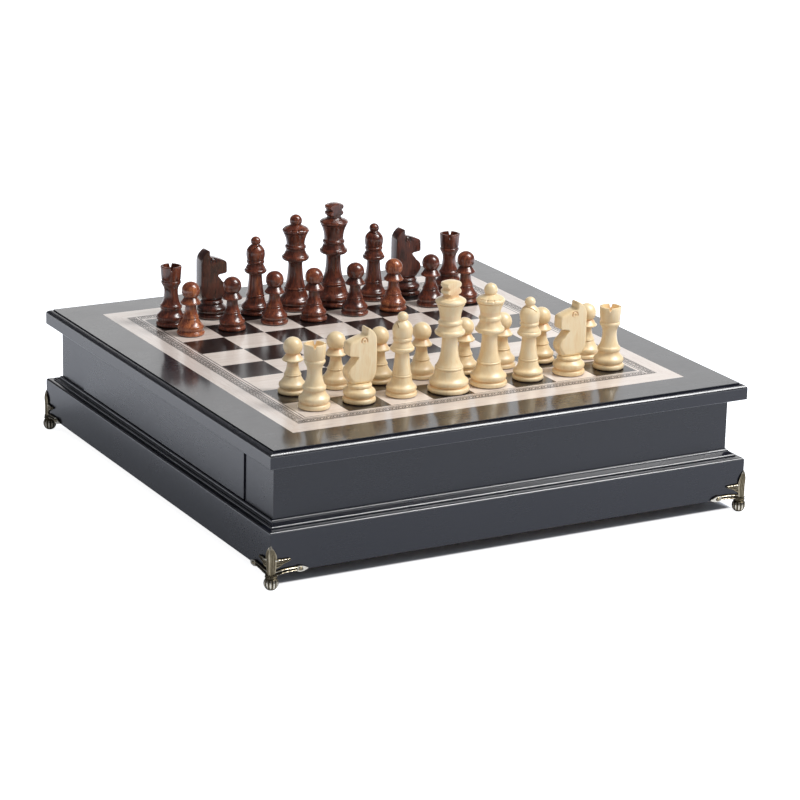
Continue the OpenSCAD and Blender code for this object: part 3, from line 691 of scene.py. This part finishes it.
# Rings of the rim from the near cheek to the far one: (inset, side, how far behind the cheek)
KNIGHT_RIM = ((0.09, 1, 0.12), (0.0, 1, 0.35), (0.0, -1, 0.35), (0.09, -1, 0.12))


def cheek_mesh(edge):
    """(points, triangles) of a flat cheek inside a closed edge, the triangles facing +Y."""
    low, high = edge.min(0), edge.max(0)
    grid = np.array([(x, z) for x in np.arange(low[0], high[0], KNIGHT_STEP)
                     for z in np.arange(low[1], high[1], KNIGHT_STEP)])
    grid = grid[np.sqrt(squared_gaps(grid, edge)).min(1) > 0.8 * KNIGHT_STEP]
    points = [Vector(p) for p in (*edge, *grid)]
    verts, _, faces, *_ = delaunay_2d_cdt(points, [], [list(range(len(edge)))], 1, 1e-6)
    flat = np.array([tuple(v) for v in verts])
    a, b, c = (flat[[face[i] for face in faces]] for i in (0, 1, 2))
    signed = np.cross(b - a, c - a)
    return flat, [tuple(face if s < 0 else reversed(face)) for face, s in zip(faces, signed)]


def cheek_relief(flat, loop):
    """(depths, grooves) of the cheek's points: bevelled at the outline, with an eye and a brow."""
    bevels = np.array(CHEEK_BEVELS)
    nearest = squared_gaps(loop, bevels[:, :2]).argmin(1)
    widths, drops = (smoothed(bevels[nearest, k], 40) for k in (2, 3))
    apart = np.sqrt(squared_gaps(flat, loop))
    at = apart.argmin(1)
    share = np.clip(apart.min(1) / widths[at], 0, 1)
    depth = KNIGHT_THICKNESS / 2 - drops[at] * (1 - share) ** 1.5
    eye = flat - np.array(KNIGHT_EYE)
    reach = np.hypot(eye[:, 0], eye[:, 1])
    ball = np.exp(-((reach - 1.5) / 0.6) ** 2)
    brow = soft_step(eye[:, 1], -1.8, -0.4) * np.exp(-((reach - 2.7) / 0.42) ** 2)
    pupil = np.exp(-(reach / 0.8) ** 2)
    depth += 0.25 * ball - 0.6 * brow - 0.35 * pupil
    # The grooves mark the brow's crease and the pupil, which the wood darkens with painted shade
    return depth, np.clip(2 * brow + 1.6 * pupil, 0, 2)


def knight_head():
    """(points, faces, grooves) of the sawn head: two flat bevelled cheeks and the rim between."""
    loop = smoothed(resampled(KNIGHT_HEAD, KNIGHT_STEP), 3)
    normals = outward(loop)
    edge = loop - normals * CHEEK_INSET
    flat, cheek = cheek_mesh(edge)
    depth, groove = cheek_relief(flat, loop)
    count = len(flat)
    points = [(x, side * d, z) for side in (1, -1) for (x, z), d in zip(flat, depth)]
    faces = cheek + [tuple(count + i for i in face) for face in turned_over(cheek)]
    order = squared_gaps(edge, flat).argmin(1)
    rings = [[int(i) for i in order]]
    for inset, side, back_off in KNIGHT_RIM:
        rings.append(list(range(len(points), len(points) + len(loop))))
        points += [(x, side * (d - back_off), z)
                   for (x, z), d in zip(loop - normals * inset, depth[order])]
    rings.append([count + i for i in rings[0]])
    quads = []
    for first, second in zip(rings, rings[1:]):
        for k in range(len(loop)):
            n = (k + 1) % len(loop)
            quads.append((first[k], first[n], second[n], second[k]))
    faces += quads if turn_of(loop) > 0 else turned_over(quads)
    grooves = np.zeros(len(points))
    grooves[:2 * count] = np.tile(groove, 2)
    return points, faces, grooves


def groove_depths(profile, points):
    """How deep in a groove of the turned profile each point lies, from 0 to 1."""
    reach, deep, step = 4.5, 3.0, 0.1
    z = np.arange(0, max(p[1] for p in profile), step)
    radius = np.interp(z, [p[1] for p in profile[1:]], [p[0] for p in profile[1:]])
    span = int(reach / step)
    filled = [min(radius[max(0, k - span):k + 1].max(), radius[k:k + span + 1].max())
              for k in range(len(z))]
    at = np.array(points)
    own = np.hypot(at[:, 0], at[:, 1])
    depth = np.clip((np.interp(at[:, 2], z, filled) - own) / deep, 0, 1)
    return depth * (own > 2) * (at[:, 2] < z[-1])


def make_kinds():
    """(points, faces) of one man of each kind, standing at the origin, and its grooves' depths."""
    kinds = {kind: lathe(eased(TURNED[kind])) for kind in ("king", "bishop", "rook", "pawn")}
    # The king's finial is sawn flat on two sides
    flat, low, reach, top = 0.058 * KING_HEIGHT, 0.865 * KING_HEIGHT, 20, 100
    kinds["king"] = cut_away(kinds["king"], block((-reach, flat, low), (reach, reach, top)),
                             block((-reach, -reach, low), (reach, -flat, top)))
    kinds["queen"] = lathe(eased(TURNED["queen"]), 108, queen_crown)
    # The bishop's mitre has one slanting saw cut
    slant = Matrix.Translation((-2, 0, 0.83 * BISHOP_HEIGHT)) @ rotation(52, "Y")
    reach, kerf = BISHOP_BASE / 2, 0.9
    cut = placed(block((-reach, -reach, 0), (0, reach, kerf)), slant)
    kinds["bishop"] = cut_away(kinds["bishop"], cut)
    # The rook's wall has two crossing slots that narrow towards the floor
    section = ((-1.3, 0.1), (-0.4, -3.6), (0.4, -3.6), (1.3, 0.1))
    slot_points = [(x, y, ROOK_HEIGHT + z) for y in (-ROOK_BASE / 2, ROOK_BASE / 2)
                   for x, z in section]
    slot_faces = [(0, 1, 2, 3), (7, 6, 5, 4)]
    slot_faces += [(k, k + 4, (k + 1) % 4 + 4, (k + 1) % 4) for k in range(4)]
    kinds["rook"] = cut_away(kinds["rook"], *[placed((slot_points, slot_faces), rotation(a, "Z"))
                                              for a in (0, 90)])
    head_points, head_faces, head_grooves = knight_head()
    kinds["knight"] = joined(lathe(eased(TURNED["knight"])), (head_points, head_faces))
    depths = {kind: groove_depths(TURNED[kind], points) for kind, (points, _) in kinds.items()}
    depths["knight"][-len(head_grooves):] = head_grooves
    return kinds, depths


# From left to right: the men, each one's offset from the middle of its square, and its turn in
# degrees
WHITE_RANK = ["rook_1", "knight_1", "bishop_1", "king", "queen", "bishop_2", "knight_2", "rook_2"]
BROWN_RANK = [*WHITE_RANK[:3], "queen", "king", *WHITE_RANK[5:]]
WHITE_STAND = [(-1.5, 1), (0.5, 1), (1, 2), (3.6, -3), (3.1, -1.5), (2.5, -1), (3, -1.5),
               (3.5, -1.5)]
WHITE_TURN = [-27, 180, -40, 5, 0, 30, 180, -33]
BROWN_STAND = [(-6, -4), (-1, 6), (0, 0), (0.5, 0), (-0.3, 0), (2, 0.5), (-1.5, 4.5), (2, -1)]
BROWN_TURN = [-20, 0, 116, 0, 5, 40, 0, -30]
PAWN_TURN = [0] * 8
WHITE_PAWN_STAND = [(1, 6), (1.5, 6), (2, 4), (1.5, 1.5), (2, -1), (0.5, 0.5), (0, 1), (3, -4.5)]
BROWN_PAWN_STAND = [(-2.5, 1.5), (-1.5, 2), (2, 4.5), (-0.5, 0), (2.5, 1.5), (1.5, 0), (0.5, 0),
                    (-4, -3)]

# How much lighter or darker each man's wood is, as a step along the tones of its kind
WHITE_SHADE = [0.03, 0, -0.02, 0.02, 0, 0.02, -0.03, 0]
WHITE_PAWN_SHADE = [0.04, 0.02, -0.02, 0.03, 0, 0.02, -0.02, 0.03]
BROWN_SHADE = [-0.03, -0.13, -0.02, -0.01, -0.03, -0.02, -0.1, -0.02]
BROWN_PAWN_SHADE = [0.12, 0, 0.01, 0.02, -0.03, 0.11, -0.02, 0.01]


def make_men(pale, brown):
    kinds, depths = make_kinds()
    pawns = [f"pawn_{k}" for k in range(1, 9)]
    ranks = [("white", 0, WHITE_RANK, WHITE_STAND, WHITE_TURN, WHITE_SHADE),
             ("brown", 7, BROWN_RANK, BROWN_STAND, BROWN_TURN, BROWN_SHADE),
             ("white", 1, pawns, WHITE_PAWN_STAND, PAWN_TURN, WHITE_PAWN_SHADE),
             ("brown", 6, pawns, BROWN_PAWN_STAND, PAWN_TURN, BROWN_PAWN_SHADE)]
    for side, rank, names, *spreads in ranks:
        wood, slot = (pale, "pale_boxwood") if side == "white" else (brown, "red_brown_wood")
        for file, (own, shift, turn, shade) in enumerate(zip(names, *spreads)):
            kind = own.split("_")[0]
            node = f"{side}_{own}"
            place = ((file - 3.5) * SQUARE + shift[0], (rank - 3.5) * SQUARE + shift[1], BOARD_Z)
            points, faces = placed(kinds[kind], Matrix.Translation(place) @ rotation(turn, "Z"))
            made = piece(f"{node}_turned", points, faces, wood, node, slot, [node])
            # groove is the depth by which the wood paints shade into the grooves; shade is the
            # man's own tone step
            point_values(made, groove=depths[kind], shade=[shade] * len(points))


# ---- Feet: the foot at the front left corner, its corner at the origin under the plinth

# How far the leaves' backs lie off the plinth
LEAF_BACK = 0.06


def corner_leaf():
    """The upright leaf wrapped round the plinth's corner."""
    bottom, top = -3.4, 23.4
    round_share = 0.22

    def place(t, v):
        z = bottom + (top - bottom) * t
        tip = 1 - (max(0.0, t - 0.5) / 0.5) ** 2.4
        width = np.interp(t, (0, 0.18, 0.5, 0.7, 1), (3.8, 4.6, 5.4, 5.5, 4.6)) * tip ** 0.75 + 0.1
        middle = math.exp(-(v / 0.1) ** 2)
        edge = math.exp(-((abs(v) - 0.93) / 0.09) ** 2)
        ribs = 0.5 + 0.5 * math.cos(2 * math.pi * (abs(v) * 4.6 + 0.9 * t))
        shown = (1 - middle) * (1 - edge)
        relief = 0.26 + 0.42 * middle + 0.40 * edge + 0.34 * ribs * shown
        relief += 0.4 * soft_step(t, 0.86, 0.97)
        depth = 1.3 + 0.75 * relief + 0.8 * soft_step(t, 0.5, 0.8) - 0.8 * abs(v) ** 2.5
        depth = 0.2 + (depth - 0.2) * tip ** 0.8
        if abs(v) < round_share:
            angle = math.radians(225 + 45 * v / round_share)
            x, y = math.cos(angle), math.sin(angle)
            return (depth * x, depth * y, z), (LEAF_BACK * x, LEAF_BACK * y, z), relief
        s = (abs(v) - round_share) / (1 - round_share) * width
        if v > 0:
            return (s, -depth, z), (s, -LEAF_BACK, z), relief
        return (-depth, s, z), (-LEAF_BACK, s, z), relief

    return closed_sheet(44, 60, place)


def side_leaf(spine, widths, relief_at, rows=48):
    """A leaf lying on the plinth's front, along a bent spine given as three points."""
    a, b, c = (np.array(p) for p in spine)

    def place(t, v):
        x, z = (1 - t) ** 2 * a + 2 * t * (1 - t) * b + t * t * c
        dx, dz = 2 * (1 - t) * (b - a) + 2 * t * (c - b)
        across = v * np.interp(t, *zip(*widths)) / math.hypot(dx, dz)
        relief = relief_at(t, v)
        depth = (0.9 + 1.5 * max(0.0, relief)) * (1 - 0.45 * soft_step(t, 0.93, 1.0))
        depth *= 0.45 + 0.55 * soft_step(t, 0.08, 0.32)
        x, z = x - dz * across, z + dx * across
        return (x, -depth, z), (x, -LEAF_BACK, z), relief

    return closed_sheet(rows, 20, place)


def beaded_leaf(t, v):
    """Relief of the upper leaf: a beaded top edge and slanting veins that end in a lower edge."""
    top_edge = math.exp(-((v - 0.72) / 0.22) ** 2)
    low_edge = math.exp(-((v + 0.85) / 0.14) ** 2)
    beads = 0.5 + 0.5 * math.cos(2 * math.pi * t * 6)
    veins = 0.5 + 0.5 * math.cos(2 * math.pi * (v * 1.7 + t * 2.2))
    plain = (1 - top_edge) * (1 - low_edge)
    return 0.26 + top_edge * (0.48 + 0.26 * beads) + 0.36 * low_edge + 0.30 * veins * plain


def roped_toe(t, v):
    """Relief of the toe: two ropes with a groove between, and a flat knob round a hole."""
    rope = math.exp(-((abs(v) - 0.58) / 0.26) ** 2) * (0.92 + 0.08 * math.cos(2 * math.pi * t * 7))
    groove = 0.10 + 0.80 * rope
    knob = soft_step(t, 0.70, 0.76)
    hole = math.exp(-(((t - 0.815) / 0.045) ** 2 + (v / 0.5) ** 2) ** 2)
    return (1 - knob) * groove + knob * (0.86 - 0.86 * hole)


def foot_ball():
    """Neck and gadrooned ball under the plinth's corner."""
    radius, flat, centre, inset = 6.1, 3.0, -8.19, 2
    start = -math.degrees(math.acos(flat / radius))
    profile = [(0, -PLINTH_Z), (2.6, -PLINTH_Z),
               *arc((0, centre), (radius, radius), start, 40, 20), (4.3, -3.9), (4.6, -3.5),
               *bead(5.2, 0.7, -3.3, -2.1, 6), (4.7, -1.9), (4.9, -1.2), (0, -1.2)]
    relief = []

    def reshape(angle, r, z):
        share = soft_step(z, -12.6, -11.2) * (1 - soft_step(z, -5.4, -4.3))
        groove = abs(math.cos(6 * angle))
        relief.append(0.10 + 0.78 * groove * share + 0.3 * (1 - share))
        return r * (1 - 0.10 * share * (1 - groove) ** 1.5), z

    points, faces = lathe(profile, 96, reshape)
    moved = [(x + inset, y + inset, z) for x, y, z in points]
    return moved, faces, [BACK_RELIEF, *relief, BACK_RELIEF]


def make_foot():
    """(points, faces, relief) of the whole foot."""
    parts = [corner_leaf()]
    upper = side_leaf(((3.0, 7.6), (10.0, 10.0), (18.0, 10.8)),
                      ((0, 4.6), (0.35, 2.9), (0.7, 1.5), (0.92, 1.0), (1, 0.3)), beaded_leaf)
    toe = side_leaf(((2.0, -1.2), (14.0, 3.4), (33.6, 0.8)),
                    ((0, 2.6), (0.35, 2.3), (0.66, 2.0), (0.74, 2.2), (0.8, 2.5), (0.88, 2.1),
                     (1, 0.4)), roped_toe, rows=80)
    for points, faces, relief in (upper, toe):
        parts.append((points, faces, relief))
        parts.append(([(y, x, z) for x, y, z in points], turned_over(faces), relief))
    parts.append(foot_ball())
    parts.append((*block((-1.6, -1.6, -1.25), (9.8, 9.8, -LEAF_BACK)), [0.3] * 8))
    points, faces = joined(*[(p, f) for p, f, _ in parts])
    return points, faces, [value for _, _, own in parts for value in own]


def make_feet(material):
    points, faces, relief = make_foot()
    for node, sx, sy in (("foot_front_left", 1, 1), ("foot_front_right", -1, 1),
                         ("foot_back_left", 1, -1), ("foot_back_right", -1, -1)):
        corner = (-sx * BASE_W / 2, -sy * BASE_D / 2, PLINTH_Z)
        moved = [(corner[0] + sx * x, corner[1] + sy * y, corner[2] + z) for x, y, z in points]
        own_faces = faces if sx * sy > 0 else turned_over(faces)
        made = piece(f"{node}_cast", moved, own_faces, material, "case", "aged_brass", [node], 50)
        point_values(made, relief=relief)


# ---- Key band

KEY_STEP = 1.5
KEY_STROKE = 0.86
KEY_FROM = 165.5
# One turn of the key on a grid of 4 by 4 steps
KEY_PATH = [(0, 0), (0, 4), (3, 4), (3, 1), (1, 1), (1, 3), (2, 3)]
KEY_THICKNESS, KEY_SUNK = 0.04, 0.01
KNOT_GAP = 1.2
EDGE_LINE_GAP = 1.1
EDGE_LINE_STROKE = 0.35


def stroke(a, b, width):
    """(points, faces) of a thin flat bar on the board from a to b, along X or Y."""
    low = [min(pair) - width / 2 for pair in zip(a, b)]
    high = [max(pair) + width / 2 for pair in zip(a, b)]
    return block((*low, BOARD_Z - KEY_SUNK), (*high, BOARD_Z + KEY_THICKNESS))


def key_side():
    """The bars of the band's front side, as (from, to, width), with the knot at its right end."""
    height = 4 * KEY_STEP
    inner = KEY_FROM + KEY_STROKE / 2
    outer = inner + height
    half = inner - KNOT_GAP
    count = int(2 * half / height)
    period = 2 * half / count
    lines = []
    for k in range(count):
        start = -half + k * period
        path = [(start + px / 4 * period, -(outer - py * KEY_STEP)) for px, py in KEY_PATH]
        lines += zip(path, path[1:])
        lines.append(((start, -outer), (start + period, -outer)))
    # Square knot in the corner, with a smaller square and a bar in it
    for inset in (0.0, KEY_STEP):
        a, b = inner + inset, outer - inset
        ring = [(a, -a), (b, -a), (b, -b), (a, -b), (a, -a)]
        lines += zip(ring, ring[1:])
    middle = inner + 2 * KEY_STEP
    lines.append(((middle, -middle + 0.6), (middle, -middle - 0.6)))
    # Thin line along the outer edge of the band
    edge = outer + EDGE_LINE_GAP
    return ([(a, b, KEY_STROKE) for a, b in lines]
            + [((-edge, -edge), (edge, -edge), EDGE_LINE_STROKE)])


def make_key_band(material):
    side = key_side()
    bars = []
    for c, s in ((1, 0), (0, 1), (-1, 0), (0, -1)):
        for *ends, width in side:
            bars.append(stroke(*[(x * c - y * s, x * s + y * c) for x, y in ends], width))
    points, faces = joined(*bars)
    piece("key_band", points, faces, material, "case", "dark_veneer", crease=30)


# ---- Felt linings

def make_lining(name, node, body, material):
    """The felt in a drawer: a soft upper side that ripples a little and is pressed at its edge."""
    clearance, skin, ripple_depth, edge_drop = 0.1, 0.02, 0.16, 0.3
    low, high = (np.array(c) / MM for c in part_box(node))
    low, high = low + (clearance, clearance, 0), high - (clearance, clearance, 0)

    def place(t, v):
        x = low[0] + (high[0] - low[0]) * (v + 1) / 2
        y = low[1] + (high[1] - low[1]) * t
        ripple = 0.5 + 0.5 * math.sin(x * 0.11 + 1.7 * math.sin(y * 0.045)) * math.cos(y * 0.08)
        top = high[2] - skin - ripple_depth * ripple
        if t in (0, 1) or abs(v) == 1:
            top -= edge_drop
        return (x, y, top), (x, y, low[2] + skin), 0

    points, faces, _ = closed_sheet(90, 44, place)
    made = piece(name, points, faces, material, body, "green_felt", [node], 60)


# ---- Light and floor

LOOK_AT = (0, 0, 0.1)
WORLD_FILL = 0.31
FLOOR_GLOW = 0.9


def lamp(name, direction, distance, size, power, mirrored=True):
    """A soft box that looks at the middle of the box. One not mirrored leaves no highlight."""
    data = bpy.data.lights.new(name, "AREA")
    data.shape = "RECTANGLE"
    data.size, data.size_y = size
    data.energy = power
    made = added(name, data)
    towards = Vector(direction).normalized()
    made.location = Vector(LOOK_AT) + towards * distance
    made.rotation_mode = "QUATERNION"
    made.rotation_quaternion = towards.to_track_quat("Z", "Y")
    made.visible_glossy = mirrored


def shown_rays(f):
    """1 for rays from the camera, a mirror or glass."""
    path = f.node("ShaderNodeLightPath").outputs
    return f.maths("MAXIMUM", path["Is Camera Ray"], path["Is Glossy Ray"],
                   path["Is Transmission Ray"])


def make_world():
    """White to the camera and to mirrors, and a weaker fill for everything else."""
    world = bpy.data.worlds.new("studio")
    bpy.context.scene.world = world
    world.use_nodes = True
    f = Nodes(world.node_tree)
    background = world.node_tree.nodes["Background"]
    background.inputs["Color"].default_value = (1, 1, 1, 1)
    f.put(background.inputs["Strength"], f.span(shown_rays(f), 0, 1, WORLD_FILL, 1.0))


def make_floor():
    """A wide pale floor. It shows white, and keeps real shade under the box."""
    half = 14.0
    corners = [(-half, -half, 0), (half, -half, 0), (half, half, 0), (-half, half, 0)]
    floor = added_mesh("floor", corners, [(0, 1, 2, 3)])
    f = Finish("floor_paper")
    # Distance outside a shape a little smaller than the box's footprint. Its left side runs in
    # behind the front foot
    x, y, _ = f.axes(f.mm)
    front, right_inset, y_inset = -BASE_D / 2, 3, 11
    left_inset = f.span(y, front + 10, front + 45, 10, 22)
    out_left = f.maths("SUBTRACT", left_inset, BASE_W / 2, x)
    out_right = f.maths("SUBTRACT", x, BASE_W / 2 - right_inset)
    out_y = f.maths("SUBTRACT", f.maths("ABSOLUTE", y), BASE_D / 2 - y_inset)
    outside = f.maths("MAXIMUM", out_left, out_right, out_y)
    mottle = f.noise(f.mm, 0.02, 3, 0.5)
    paper = f.mix(mottle, (0.80, 0.84, 0.93, 1), (0.84, 0.88, 0.97, 1))
    diffuse = f.node("ShaderNodeBsdfDiffuse", {"Color": paper})
    # The camera sees the floor white up to the box. Mirrors see it as lit, with a painted glow on
    # the floor to the left that brightens the reflections in the box's left side, and white far
    # away
    camera_ray = f.node("ShaderNodeLightPath").outputs["Is Camera Ray"]
    near = f.maths("MULTIPLY", f.span(outside, -1.5, 1.5), camera_ray)
    # Painted light: the floor left of the box glows for mirrors, more with distance from the box
    painted_left_glow = f.span(out_left, 80, 240, 0, 0.4)
    away = f.maths("MAXIMUM", f.span(outside, 300, 1200), painted_left_glow)
    far = f.maths("MULTIPLY", away, shown_rays(f))
    strength = f.maths("MULTIPLY", f.maths("MAXIMUM", near, far), FLOOR_GLOW)
    glow = f.node("ShaderNodeEmission", {"Strength": strength})
    both = f.node("ShaderNodeAddShader", {0: diffuse.outputs[0], 1: glow.outputs[0]})
    f.put(f.tree.nodes["Material Output"].inputs["Surface"], both.outputs[0])
    floor.data.materials.append(f.material)


def make_flags():
    """Dark cloths round the studio that only mirrors see, open where the white sweep stands."""
    radius, step = 6.0, 5
    sweep_azimuth, sweep_elevation = (5, 60), 25
    points = [(radius * math.sin(a) * math.cos(e), radius * math.cos(a) * math.cos(e),
               radius * math.sin(e))
              for e in np.radians(range(0, 91, step)) for a in np.radians(range(0, 360, step))]
    around = 360 // step
    faces = []
    for j in range(90 // step):
        for i in range(around):
            if sweep_azimuth[0] <= i * step < sweep_azimuth[1] and j * step < sweep_elevation:
                continue
            n = (i + 1) % around
            low, high = j * around, (j + 1) * around
            faces.append((low + i, low + n, high + n, high + i))
    flags = added_mesh("flags", points, faces)
    flags.visible_camera = flags.visible_diffuse = flags.visible_shadow = False
    f = Finish("dark_cloth")
    weave = f.noise(f.mm, 0.01, 3, 0.5)
    f.set(Base_Color=f.mix(weave, (0.16, 0.16, 0.17, 1), (0.22, 0.22, 0.23, 1)), Roughness=1.0)
    flags.data.materials.append(f.material)


# ---- Putting it together

def finish_node(node, material):
    slots = nodes[node].data.materials
    if not slots:
        slots.append(material)
    for k in range(len(slots)):
        slots[k] = material


make_camera()

line_wood = line_veneer("line_veneer")
for material, *names in (
        (black_lacquer("black_lacquer_x", "x"),
         "top_panel", "front_wall", "back_wall", "base_moulding", "plinth_boards"),
        (black_lacquer("black_lacquer_y", "y"),
         "corner_stiles", "left_drawer_front", "right_drawer_front"),
        (plain_wood("plain_wood_x", "x"),
         "floor_panel", "guide_rails", "left_drawer_box", "right_drawer_box"),
        (plain_wood("plain_wood_y", "y"),
         "centre_divider", "left_drawer_dividers", "right_drawer_dividers"),
        (light_veneer("light_veneer"), "board_sheet"),
        (dark_veneer("dark_veneer"), "dark_squares"),
        (line_wood, "border_lines"),
        (aged_brass("aged_brass"), "foot_screws"),
        (catch_steel("catch_steel"), "catch_housings", "left_plunger", "right_plunger")):
    for node in names:
        finish_node(node, material)

make_men(pale_boxwood("pale_boxwood"), red_brown_wood("red_brown_wood"))
make_feet(aged_brass("cast_brass", "relief"))
make_key_band(line_wood)
felt = green_felt("green_felt")
for side in ("left", "right"):
    make_lining(f"{side}_felt", f"{side}_drawer_lining", f"{side}_drawer", felt)

lamp("key_box", (0.484, -0.365, 0.80), 2.4, (0.75, 1.28), 49.0)
lamp("rim_box", (-0.62, 0.60, 0.50), 1.6, (0.36, 0.36), 2.2, mirrored=False)
lamp("front_fill", (0.35, -0.80, 0.55), 1.9, (1.10, 0.60), 3.5, mirrored=False)
make_world()
make_floor()
make_flags()
bpy.context.scene.view_settings.view_transform = "Standard"
